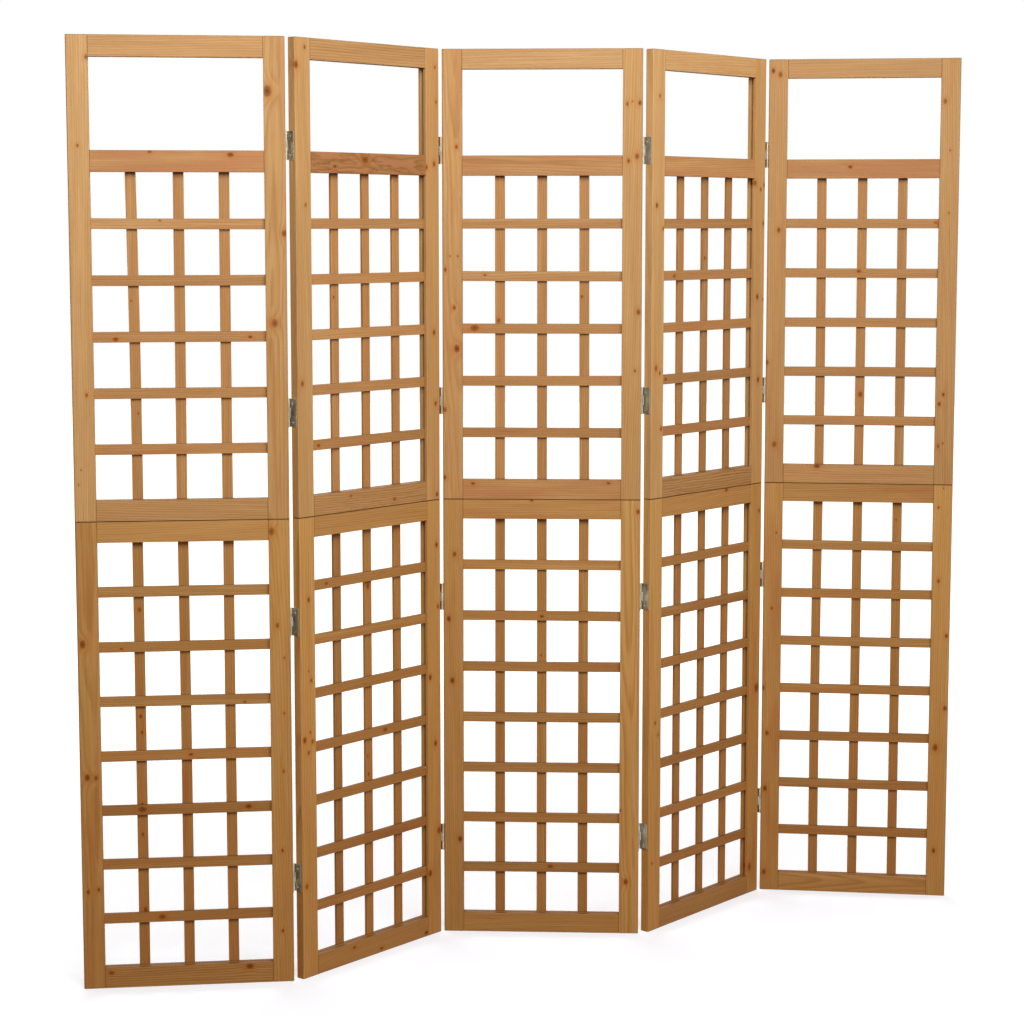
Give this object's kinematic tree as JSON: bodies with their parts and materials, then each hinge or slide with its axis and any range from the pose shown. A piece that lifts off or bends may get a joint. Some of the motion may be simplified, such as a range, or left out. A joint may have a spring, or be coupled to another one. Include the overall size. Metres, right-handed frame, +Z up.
{
  "type": "folding room divider",
  "caption": "Folding wooden trellis screen: hinged panels, each a lower lattice frame with an upper lattice frame and open window above, standing in a zigzag.",
  "frame": {"origin": "on the floor, at the centre of the plan of the screen as it stands in the picture", "axes": "+Z up, +X along the middle panel to the right as seen from the front, +Y to the back"},
  "size_m": [1.7321, 0.7453, 1.8],
  "materials": {
    "stile_wood": "honey-stained fir, satin varnish",
    "rail_wood": "honey-stained fir, satin varnish",
    "horizontal_slat_wood": "honey-stained fir, satin varnish",
    "vertical_slat_wood": "honey-stained fir, satin varnish, a darker tone",
    "dowel_wood": "plain beech",
    "hinge_steel": "zinc-plated steel",
    "pin_steel": "bright steel"
  },
  "bodies": {
    "panel_1": {"panel_1_lower_stiles": "stile_wood", "panel_1_lower_rails": "rail_wood", "panel_1_lower_vertical_slats": "vertical_slat_wood", "panel_1_lower_horizontal_slats": "horizontal_slat_wood", "panel_1_upper_stiles": "stile_wood", "panel_1_upper_rails": "rail_wood", "panel_1_upper_vertical_slats": "vertical_slat_wood", "panel_1_upper_horizontal_slats": "horizontal_slat_wood", "panel_1_dowels": "dowel_wood", "panel_1_hinge_leaves": "hinge_steel"},
    "panel_2": {"panel_2_lower_stiles": "stile_wood", "panel_2_lower_rails": "rail_wood", "panel_2_lower_vertical_slats": "vertical_slat_wood", "panel_2_lower_horizontal_slats": "horizontal_slat_wood", "panel_2_upper_stiles": "stile_wood", "panel_2_upper_rails": "rail_wood", "panel_2_upper_vertical_slats": "vertical_slat_wood", "panel_2_upper_horizontal_slats": "horizontal_slat_wood", "panel_2_dowels": "dowel_wood", "panel_2_hinge_leaves": "hinge_steel", "panel_2_hinge_pins": "pin_steel"},
    "panel_3": {"panel_3_lower_stiles": "stile_wood", "panel_3_lower_rails": "rail_wood", "panel_3_lower_vertical_slats": "vertical_slat_wood", "panel_3_lower_horizontal_slats": "horizontal_slat_wood", "panel_3_upper_stiles": "stile_wood", "panel_3_upper_rails": "rail_wood", "panel_3_upper_vertical_slats": "vertical_slat_wood", "panel_3_upper_horizontal_slats": "horizontal_slat_wood", "panel_3_dowels": "dowel_wood", "panel_3_hinge_leaves": "hinge_steel"},
    "panel_4": {"panel_4_lower_stiles": "stile_wood", "panel_4_lower_rails": "rail_wood", "panel_4_lower_vertical_slats": "vertical_slat_wood", "panel_4_lower_horizontal_slats": "horizontal_slat_wood", "panel_4_upper_stiles": "stile_wood", "panel_4_upper_rails": "rail_wood", "panel_4_upper_vertical_slats": "vertical_slat_wood", "panel_4_upper_horizontal_slats": "horizontal_slat_wood", "panel_4_dowels": "dowel_wood", "panel_4_hinge_leaves": "hinge_steel", "panel_4_hinge_pins": "pin_steel"},
    "panel_5": {"panel_5_lower_stiles": "stile_wood", "panel_5_lower_rails": "rail_wood", "panel_5_lower_vertical_slats": "vertical_slat_wood", "panel_5_lower_horizontal_slats": "horizontal_slat_wood", "panel_5_upper_stiles": "stile_wood", "panel_5_upper_rails": "rail_wood", "panel_5_upper_vertical_slats": "vertical_slat_wood", "panel_5_upper_horizontal_slats": "horizontal_slat_wood", "panel_5_dowels": "dowel_wood", "panel_5_hinge_leaves": "hinge_steel"}
  },
  "joints": [
    {"name": "fold_1_2", "type": "hinge", "parent": "panel_2", "child": "panel_1", "pos_m": [-0.47021, -0.28454, 0.9], "axis": [0, 0, -1], "range_deg": [-43, 137]},
    {"name": "fold_2_3", "type": "hinge", "parent": "panel_3", "child": "panel_2", "pos_m": [-0.20506, 0.02092, 0.9], "axis": [0, 0, 1], "range_deg": [-52.5, 127.5]},
    {"name": "fold_3_4", "type": "hinge", "parent": "panel_3", "child": "panel_4", "pos_m": [0.19869, 0.04532, 0.9], "axis": [0, 0, 1], "range_deg": [-52.5, 127.5]},
    {"name": "fold_4_5", "type": "hinge", "parent": "panel_4", "child": "panel_5", "pos_m": [0.46383, 0.35078, 0.9], "axis": [0, 0, -1], "range_deg": [-57, 123]}
  ],
  "couplings": [
    {"joint": "fold_3_4", "follows": "fold_2_3", "ratio": 1}
  ]
}
